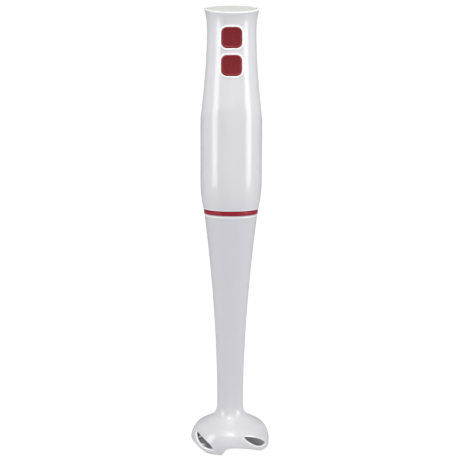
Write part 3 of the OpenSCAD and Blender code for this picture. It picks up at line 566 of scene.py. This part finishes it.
rearHoles[(2, 10)] = {
    "centre": np.array([0.0, rear["inletHeight"]]), "half": (rear["inletHole"],) * 2,
    "corner": rear["inletHole"] - 0.01, "rows": np.array(rear["bossRows"]), "steps": 3,
    "shape": lambda d: 0 * d, "raise": raiseBoss}
makePiece("handleRearSkin", shellGrids(*rearRuns, rearHoles, rearPoint), "handle", ["handle_rear_shell"])


# Buttons: a raised rim round a sunken field, straight sides and a flange that holds them in the shell
def buttonFace(x, h, drop):  # the shell's own curve, pushed out by how far the button stands proud
    radius = handleRadius(np.ones_like(x), h, handle["length"]) + button["proud"] - drop
    return -np.sqrt(radius ** 2 - x ** 2)


def buttonGrid(height):
    # Rows of half width, corner radius and drop from the face, or a fixed y: field, rim, edge, flange, stem.
    rim = around(np.linspace(-1, 1, 31), np.linspace(-1, 1, 31))
    rows = []
    field, half, corner = button["fieldHalf"], button["half"], button["corner"]
    for share in np.linspace(0.0001, 1, 12):  # the sunken field, slightly dished
        drop = button["fieldDrop"] * (1 + button["dish"] * (1 - share ** 2))
        rows.append((field * share, (corner - half + field) * share, drop, None))
    for share in np.linspace(0.15, 1, 5):  # the rim's inner slope
        size = field + button["slope"] * share
        drop = button["fieldDrop"] * (0.5 + 0.5 * math.cos(math.pi * share))
        rows.append((size, corner - half + size, drop, None))
    for inset in edgeRows(button["edge"], 6)[::-1]:  # the rounded outer edge
        rows.append((half - inset, corner - inset, float(roundedEdge(inset, button["edge"])), None))
    front, back = button["flangeY"], button["flangeY"] + button["flangeThick"]
    lip, stem = button["flangeLip"], button["stem"]
    rows += [(half, corner, 0, button["sideY"]), (half, corner, 0, front),
             (half + lip, corner + lip, 0, front), (half + lip, corner + lip, 0, back),
             (stem, stem - 0.01, 0, back), (stem, stem - 0.01, 0, button["stemEnd"]),
             (0.001, 0.0009, 0, button["stemEnd"])]
    grid = []
    for size, corner, drop, y in rows:
        flatPoint = roundedSquare(rim, (size, size), corner)
        x, h = flatPoint[:, 0], flatPoint[:, 1] + height
        depth = buttonFace(x, h, drop) if y is None else np.full_like(x, y)
        # Painted highlight: the rim takes the brighter edge red, growing from the field outwards
        rimPaintedShare = np.full_like(x, np.clip((size - field) / button["rimPaintedLight"], 0, 1))
        grid.append(np.stack([x, depth, handle["bottom"] + h, rimPaintedShare], -1))
    return np.array(grid)


def buttonBar(x, height):
    # One raised bar on a button: rounded outlines that start as a line below the face, climb over a
    # half round top and close in a line again.
    rim = around(np.linspace(-1, 1, 9), np.linspace(-1, 1, 9))
    corner, sink, top = button["barCorner"], button["barSink"], button["barRise"]
    arc = [(button["barEdge"] * (1 - math.cos(a)), top * math.sin(a)) for a in np.linspace(0, math.pi / 2, 4)]
    grid = []
    for inset, rise in [(corner, -sink), (0, -sink)] + arc + [(corner, top)]:
        flatPoint = roundedSquare(rim, button["barHalf"], corner, -inset)
        across, h = flatPoint[:, 0] + x, flatPoint[:, 1] + height
        depth = buttonFace(across, h, button["fieldDrop"] * button["barBase"] - rise)
        grid.append(np.stack([across, depth, handle["bottom"] + h], -1))
    return np.array(grid)


for which, height, bars in (("upper", button["upper"], (-1.1, 1.1)),
                            ("lower", button["upper"] - button["pitch"], (0.0,))):
    makePiece("button" + which.title() + "Cap", [buttonGrid(height)] + [buttonBar(x, height) for x in bars],
              which + "_button", ["button_" + which], "red_abs", buttonAbs)


# Top cap: a crowned disc that lies on the handle's slope inside the lip
cap = {"radius": 20.15, "sink": 0.7, "thick": 2.2, "crown": 0.35, "edge": 0.5, "bottom": 0.3}


def capPoint(radius, level):
    # Rings on the sloping plane: level is measured from the plane, and the slope follows y.
    angle = np.linspace(0, 2 * math.pi, 145)[None, :]
    x, y = radius[:, None] * np.sin(angle), -radius[:, None] * np.cos(angle)
    z = handle["bottom"] + handle["length"] + y * handle["topSlope"] + level[:, None]
    return np.stack([x, y, z], -1)


capRadius, capEdge = cap["radius"], cap["edge"]
capDepth = cap["thick"] + cap["bottom"]
rings = np.concatenate([np.linspace(0, capRadius - capEdge, 14)[:-1], capRadius - edgeRows(capEdge)[::-1]])
crown = cap["crown"] * (1 - (rings / capRadius) ** 2) - cap["sink"] - roundedEdge(capRadius - rings, capEdge)
under = np.array([capRadius, capRadius - cap["bottom"], 0])
underLevel = np.array([-cap["thick"], -capDepth, -capDepth]) - cap["sink"]
makePiece("topCapDisc", [capPoint(np.concatenate([rings, under]), np.concatenate([crown, underLevel]))],
          "handle", ["top_cap"], "cap_abs")

# Trim band: a ring with a gently bulging face, painted darker red as painted shade on its flat faces and
# towards the top and bottom of the bulge, so that the middle reads lighter
band = {"inner": 20.5, "outer": 22.2, "bulge": 0.4, "edge": 0.25, "height": 3.9, "shadePower": 1.5}
bandLow, bandHigh = ringLow.z * 1000, ringHigh.z * 1000
turn = np.linspace(0, math.pi, 25)
# The third value is painted shade: full on the flat faces and at the bulge's top and bottom, none at its
# middle
bandProfile = [(band["inner"], bandLow, 1), (band["outer"] - band["edge"], bandLow, 1)]
for angle, up in zip(turn, (1 - np.cos(turn)) / 2):  # up is the share of the height
    cut = float(roundedEdge(min(up, 1 - up) * band["height"], band["edge"]))
    bandProfile.append((band["outer"] + band["bulge"] * math.sin(angle) - cut,
                        bandLow + (bandHigh - bandLow) * up, abs(2 * up - 1) ** band["shadePower"]))
bandProfile += [(band["outer"] - band["edge"], bandHigh, 1), (band["inner"], bandHigh, 1),
                (band["inner"], bandLow, 1)]
makePiece("trimBand", [lathe(bandProfile, 192)], "handle", ["trim_ring"], "red_abs")

# Cord inlet bush: a rubber sleeve with a tapered, grooved collar
bush = {  # points of radius and distance behind the drive line
    "sleeve": ((4.95, 16.0), (4.95, 21.42)),
    "collar": ((6.0, 21.42), (6.2, 21.6), (6.1, 21.85)),
    "groove": ((5.78, 21.95), (5.78, 22.2)),
    "nose": ((5.85, 22.3), (5.45, 22.75), (5.1, 22.97), (4.7, 23.0), (3.7, 23.0), (3.35, 22.85)),
    "bore": ((3.2, 22.5), (3.2, 16.0)),
}
bushProfile = np.vstack([bush["bore"][1:], *bush.values()])
makePiece("cordInletBush", [lathe(bushProfile, 72, "y", (0, 0, handle["bottom"] + rear["inletHeight"]))],
          "handle", ["cord_inlet_bush"], "soft_rubber")


# Leg and foot: one moulding, with four arches in its rim and four slanted leaf-shaped slots
leg = {
    "height": 199.6,
    "topRadius": 22.1,
    "topRound": 0.5,
    "topPaintedHighlight": (1.3, 0.8),  # depths between which the top's painted highlight grows
    "neckRadius": 11.0,
    "neckHeight": 37.8,
    "taperPower": 1.85,
    "wall": 2.2,
    "bell": ((33.5, 3.9), (33.5, 11.5), (30.6, 17), (24.9, 20)),  # radius and height of its curve's points
    "shoulder": ((24.9, 20), (13.9, 25.79), (11, 26.19), (11, 37.8)),
    "bellInside": ((31.3, 3.9), (31.3, 10.5), (29.195, 15.253), (23.875, 18.053)),
    "seat": (19.7, 193.0),  # radius and lowest height of the collar's seat
    "bore": ((5.0, 40.0), (5.0, 27.0), (6.0, 27.0), (6.0, 22.4)),  # for the shaft's tube and seal
    "ceiling": ((15.0, 22.4), (16.2, 22.05)),
    "archHeight": 6.2,
    "archStart": -13,  # degrees round the foot, like archClimb, archTop and archFall
    "archClimb": 20,
    "archSoft": 0.3,  # share of the climb that starts softly
    "archTop": 8,
    "archFall": 46,
    "archPowers": (1.7, 1.15),
    "slotHalf": 12.45,
    "slotRise": 2.2,
    "slotDrop": 3.6,
    "slotPower": 1.4,
    "slotTips": 1.3,  # how much faster than its sides the slot's tips grow
    "slotDraft": 0.8,  # how much wider the slot's lower side is inside
    "slotHeight": 9.5,
    "slotSlant": math.radians(-21.9),
    "slotTurn": math.radians(38),  # where on its outline the slot's grid starts
    "slotRound": 0.9,
    # painted highlight on the slots' rounded edges, by share of the rounding
    "slotPaintedHighlight": 1.3,
    "slotSteps": 8,
    "bandTop": 17.2,  # the slots and arches lie below this height
    "rimRound": 1.0,
    "rimRows": 1.15,  # height of the rim's own rows
    # width of the painted highlight along the rim's rounded lower edge
    "rimPaintedLight": 0.6,
}
outerFoot = np.vstack([bezier(*leg["bell"], 61), bezier(*leg["shoulder"], 61)[1:]])
innerFoot = bezier(*leg["bellInside"], 61)


def footRadius(z, inner=False):  # the bell's radius at a height, straight below its widest line
    curve = innerFoot if inner else outerFoot[:61]
    return np.interp(z, curve[:, 1], curve[:, 0])


def archRise(degrees):
    # Height of the rim round the foot: a climb that starts softly and eases into the top by a cube,
    # and a long power-curve fall.
    first = leg["archStart"]
    inner, outer = leg["archPowers"]
    a = (degrees - first) % 90 + first
    up = np.clip((a - first) / leg["archClimb"], 0, 1)
    start = np.clip(up / leg["archSoft"], 0, 1)
    fall = np.clip((a - leg["archTop"]) / leg["archFall"], 0, 1)
    climb = start ** 2 * (3 - 2 * start) * (1 - (1 - up) ** 3)
    return leg["archHeight"] * climb * (1 - fall ** inner) ** outer


def leafOutline(turn, grow):
    # A slanted leaf: x follows the cosine, and z follows the sine to a power that draws out the tips.
    x = (leg["slotHalf"] + leg["slotTips"] * grow) * np.cos(turn)
    drop = np.where(np.sin(turn) > 0, leg["slotRise"], leg["slotDrop"]) + grow
    z = drop * np.sign(np.sin(turn)) * np.abs(np.sin(turn)) ** leg["slotPower"]
    cosine, sine = math.cos(leg["slotSlant"]), math.sin(leg["slotSlant"])
    return x * cosine - z * sine, x * sine + z * cosine + leg["slotHeight"]


# bright is the share of painted highlight
def ringPoints(radius, angle, z, bright):  # the angle is from the front
    return np.stack([radius * np.sin(angle), -radius * np.cos(angle), z, bright], -1)


def footGrids():
    grids = []
    u = np.linspace(-45, 45, 73)
    slotRound, rimRound, steps = leg["slotRound"], leg["rimRound"], leg["slotSteps"]
    slotRows, rimRows = edgeRows(slotRound, 6), edgeRows(rimRound, 6)
    for sector in range(4):
        start = around(u, np.linspace(0, 1, 19))
        low = archRise(start[:, 0] + 45) + leg["rimRows"] * rimRound
        rim = np.stack([start[:, 0], low + start[:, 1] * (leg["bandTop"] - low)], -1)
        q = squareRim(start)
        turn = np.arctan2(q[:, 1], q[:, 0]) + leg["slotTurn"]
        sheets = []
        for inner in (False, True):
            rows = []
            draft = leg["slotDraft"] * np.clip(-np.sin(turn) * 2, 0, 1) if inner else 0
            for d in slotRows:
                x, z = leafOutline(turn, d + draft)
                rows.append(np.stack([np.degrees(np.arcsin(x / footRadius(z, inner))), z], -1))
            spread = np.linspace(0, 1, steps + 1)[1:]
            rows += [rows[len(slotRows) - 1] * (1 - share) + rim * share for share in spread]
            cell = np.array(rows)
            drop = 0 if inner else np.pad(roundedEdge(slotRows, slotRound), (0, steps))[:, None]
            radius = footRadius(cell[..., 1], inner) - drop
            angle = np.radians(cell[..., 0] + 45 + 90 * sector)
            # Painted highlight: white painted along the slot's rounded edge
            bright = np.pad(np.clip(leg["slotPaintedHighlight"] - slotRows / slotRound, 0, 1), (0, steps))
            bright = bright[:, None] + 0 * radius
            sheets.append(ringPoints(radius, angle, cell[..., 1], bright))
        grids += sheets + [np.stack([sheets[0][0], sheets[1][0]])]
        edges = []
        for inner in (False, True):  # the rounded rim, from the cell's lower edge to the lowest line
            distance = np.concatenate([[leg["rimRows"] * rimRound], rimRows[::-1]])[:, None]
            z = archRise(u + 45)[None, :] + distance
            turnIn = roundedEdge(distance, rimRound) * (-1 if inner else 1)
            radius = footRadius(z, inner) - turnIn
            angle = np.radians(u + 45 + 90 * sector)[None, :] + 0 * z
            # Painted highlight: white painted along the rim's rounded edge
            bright = leg["rimPaintedLight"] * np.clip(1 - distance / rimRound, 0, 1) + 0 * z
            edges.append(ringPoints(radius, angle, z, bright))
        grids += edges + [np.stack([edges[0][-1], edges[1][-1]])]
    return grids


legColumns = 4 * 72
bandTop = leg["bandTop"]
upperFoot = outerFoot[outerFoot[:, 1] > bandTop + 0.1]
plainDepth, highlightDepth = leg["topPaintedHighlight"]
legZ = np.linspace(leg["neckHeight"], leg["height"] - plainDepth, 60)[1:]
legZ = np.append(legZ, leg["height"] - highlightDepth)


def legRadius(z):  # the tube widens by a power of the height above the neck
    return leg["neckRadius"] + (leg["topRadius"] - leg["neckRadius"]) * (
        np.clip(z - leg["neckHeight"], 0, None) / (leg["height"] - leg["neckHeight"])) ** leg["taperPower"]


topEdge = edgeRows(leg["topRound"])[::-1]
topRadius = legRadius(leg["height"] - topEdge) - roundedEdge(topEdge, leg["topRound"])
outerLeg = np.vstack([[(float(footRadius(bandTop)), bandTop)], upperFoot,
                      np.stack([legRadius(legZ), legZ], -1),
                      np.stack([topRadius, leg["height"] - topEdge], -1)])
cavityZ = np.linspace(leg["seat"][1], leg["bore"][0][1], 30)
innerRows = innerFoot[innerFoot[:, 1] > bandTop + 0.1][::-1]
innerLeg = np.vstack([[(leg["seat"][0], leg["height"]), leg["seat"]],
                      np.stack([legRadius(cavityZ) - leg["wall"], cavityZ], -1), leg["bore"], leg["ceiling"],
                      innerRows, [(float(footRadius(bandTop, True)), bandTop)]])
legProfile = np.vstack([outerLeg, innerLeg])
below = leg["height"] - legProfile[:, 1:]
topHighlightShare = np.clip((plainDepth - below) / (plainDepth - highlightDepth), 0, 1)  # painted highlight where it meets the band
makePiece("legAndFoot", footGrids() + [lathe(np.hstack([legProfile, topHighlightShare]), legColumns)],
          "leg", ["leg_shell"], material=shadedLegAbs)


# Blade: one pressed strip, twisted at its ends and ground thin along its leading edges
blade = {
    "reach": 24.0,
    "hole": 3.0,
    "bottom": 8.8,
    "thick": 1.2,
    "chordAt": (0, 9, 13, 20, 24),  # distances from the centre
    "chord": (6.2, 4.4, 4.2, 3.3, 1.2),  # half width there
    "outlinePowers": (0.55, 0.6),
    "sweep": 2.6,
    "bend": 12.0,
    "up": 14.0,
    "down": 6.0,
    "edge": 0.25,
    "ground": 0.4,  # half thickness where the grinding starts
}


def bladeGrid():
    # Rows run from the centre hole to the outline. The outline is a flattened superellipse whose tips
    # sweep back, the thickness thins towards the edge, and the two arms bend up and down.
    turn = np.linspace(0, 2 * math.pi, 193)[None, :]
    cosine, sine = np.cos(turn), np.sin(turn)
    powerX, powerY = blade["outlinePowers"]
    outX = blade["reach"] * np.sign(cosine) * np.abs(cosine) ** powerX
    chord = np.interp(np.abs(outX), blade["chordAt"], blade["chord"])
    sweep = blade["sweep"] * np.sign(outX) * (np.abs(outX) / blade["reach"]) ** 3
    outY = chord * np.sign(sine) * np.abs(sine) ** powerY + sweep
    rows = np.concatenate([np.linspace(0, 0.8, 9), [0.88, 0.94, 0.98, 1.0]])[:, None]
    x = blade["hole"] * cosine * (1 - rows) + outX * rows
    y = blade["hole"] * sine * (1 - rows) + outY * rows
    beyond = np.clip(np.abs(x) - blade["bend"] + 1, 0, None)
    beyond = beyond ** 2 / (beyond + 2)  # eases the bend
    slope = np.where(x > 0, math.tan(math.radians(blade["up"])), -math.tan(math.radians(blade["down"])))
    middle = blade["bottom"] + blade["thick"] / 2 + beyond * slope
    halfThick = blade["thick"] / 2
    half = np.interp(rows, [0, 0.6, 0.9, 1], [halfThick, halfThick, blade["ground"], blade["edge"] / 2])
    top = np.stack([x, y, middle + half], -1)
    bottom = np.stack([x, y, middle - half], -1)
    return [np.vstack([top, bottom[::-1], top[:1]])]


makePiece("bladeStrip", bladeGrid(), "blade_shaft", ["blade"], "stainless")
print("pieces made")


# Studio: a pale floor, a tall soft strip on each side, a broad fill in front and soft lights above
ground = {
    "half": 6000.0,
    "gap": 0.02,
    "shade": ((0, 10, 22), (-13, -7, 10), (-17, 8, 13), (17, 3, 14)),  # x, y, radius of dark under the foot
    "soft": 2.0,
    "clear": (0.05, 0.97),  # share of white inside and outside the shade
    "colour": "#C4C4C8",
    "roughness": 0.9,
    "white": 1.05,  # brightness that the camera sees
}
floorMesh = bpy.data.meshes.new("floor")
span = np.linspace(-ground["half"], ground["half"], 9) / 1000
xx, yy = np.meshgrid(span, span)
floorPoints = np.stack([xx, yy, np.full_like(xx, low[2] - ground["gap"] / 1000)], -1)
floorMesh.from_pydata(floorPoints.reshape(-1, 3), [], gridFaces(9, 9, 0))
floor = bpy.data.objects.new("floor", floorMesh)
bpy.context.scene.collection.objects.link(floor)
paint = bpy.data.materials.new("paleFloor")
paint.use_nodes = True
tree = paint.node_tree
tree.nodes["Principled BSDF"].inputs["Base Color"].default_value = colour(ground["colour"])
tree.nodes["Principled BSDF"].inputs["Roughness"].default_value = ground["roughness"]
glow = addNode(tree, "ShaderNodeEmission", {"Color": (1, 1, 1, 1), "Strength": ground["white"]})
seen = addNode(tree, "ShaderNodeLightPath")
place = addNode(tree, "ShaderNodeTexCoord").outputs["Object"]
amountSoFar = seen.outputs["Is Camera Ray"]
for x, y, radius in ground["shade"]:
    apart = addNode(tree, "ShaderNodeVectorMath", {"operation": "DISTANCE"})
    tree.links.new(place, apart.inputs[0])
    apart.inputs[1].default_value = (x / 1000, y / 1000, low[2])
    clear = addNode(tree, "ShaderNodeMapRange", {
        "From Min": (radius - ground["soft"]) / 1000, "From Max": (radius + ground["soft"]) / 1000,
        "To Min": ground["clear"][0], "To Max": ground["clear"][1]}, Value=apart.outputs["Value"])
    amount = addNode(tree, "ShaderNodeMath", {"operation": "MINIMUM"})
    tree.links.new(amountSoFar, amount.inputs[0])
    tree.links.new(clear.outputs[0], amount.inputs[1])
    amountSoFar = amount.outputs[0]
blend = addNode(tree, "ShaderNodeMixShader")
tree.links.new(amountSoFar, blend.inputs[0])
tree.links.new(tree.nodes["Principled BSDF"].outputs[0], blend.inputs[1])
tree.links.new(glow.outputs[0], blend.inputs[2])
tree.links.new(blend.outputs[0], tree.nodes["Material Output"].inputs["Surface"])
floorMesh.materials.append(paint)

room = {"colour": "#EBEBEE", "strength": 0.34, "white": 1.05}  # white is what the camera sees of it
world = bpy.data.worlds.new("studio")
bpy.context.scene.world = world
world.use_nodes = True
tree = world.node_tree
roomLight = tree.nodes["Background"]
roomLight.inputs["Color"].default_value = colour(room["colour"])
roomLight.inputs["Strength"].default_value = room["strength"]
backdrop = addNode(tree, "ShaderNodeBackground", {"Color": (1, 1, 1, 1), "Strength": room["white"]})
seen = addNode(tree, "ShaderNodeLightPath")
blend = addNode(tree, "ShaderNodeMixShader")
tree.links.new(seen.outputs["Is Camera Ray"], blend.inputs[0])
tree.links.new(roomLight.outputs[0], blend.inputs[1])
tree.links.new(backdrop.outputs[0], blend.inputs[2])
tree.links.new(blend.outputs[0], tree.nodes["World Output"].inputs["Surface"])


def addLight(name, azimuth, span, distance, width, power, aimed=False, length=None):
    # A soft rectangle that faces the drive line: azimuth 0 is in front and grows to the right, and span
    # is its lowest and highest edge over the floor. A light with no height hangs level and faces down,
    # as long from front to back as length says, and an aimed one leans towards the foot.
    a = math.radians(azimuth)
    lowest, highest = span
    data = bpy.data.lights.new(name, "AREA")
    data.shape = "RECTANGLE"
    data.size, data.size_y = width, (highest - lowest) or length or width
    data.energy = power
    light = bpy.data.objects.new(name, data)
    light.location = (distance * math.sin(a), -distance * math.cos(a), (lowest + highest) / 2)
    aim = Vector((0, 0, -1)) if highest == lowest else Vector((-math.sin(a), math.cos(a), 0))
    if aimed:
        aim = Vector((0, 0, low[2])) - light.location
    light.rotation_euler = aim.to_track_quat("-Z", "Y").to_euler()
    bpy.context.scene.collection.objects.link(light)


addLight("stripLeft", -64, (0.05, 1.35), 1.3, 0.5, 9.5)
addLight("stripRight", 69, (0.05, 1.35), 1.3, 0.5, 11)
addLight("frontFill", 0, (0.2, 2.2), 2.6, 2.0, 3.3)
addLight("brow", -3, (1.2, 1.5), 0.72, 0.8, 3.4, True)
addLight("above", 0, (1.5, 1.5), 0.25, 1.2, 3.9)
addLight("aboveSmall", 0, (1.3, 1.3), 0.45, 0.26, 1.8)
addLight("ridge", 180, (1.4, 1.4), 0.1, 0.1, 1.2, length=1.2)

view = {
    "distance": 0.95,
    "height": 0.3256,
    "pitch": 8.37,  # degrees down
    "lens": 89.45,
    "sensor": 36,
    "roll": 0.25,
    "aside": -0.0007,
}
camera = bpy.data.objects.new("camera", bpy.data.cameras.new("camera"))
camera.data.lens = view["lens"]
camera.data.sensor_width = view["sensor"]
camera.data.clip_start = 0.01
camera.location = (float(low[0] + high[0]) / 2 + view["aside"], -view["distance"],
                   float(low[2]) + view["height"])
pitch = math.radians(view["pitch"])
look = Vector((0, math.cos(pitch), -math.sin(pitch))).to_track_quat("-Z", "Y").to_matrix()
camera.rotation_euler = (look @ Matrix.Rotation(math.radians(view["roll"]), 3, "Z")).to_euler()
bpy.context.scene.collection.objects.link(camera)
bpy.context.scene.camera = camera
bpy.context.scene.view_settings.view_transform = "Standard"
print("studio ready")
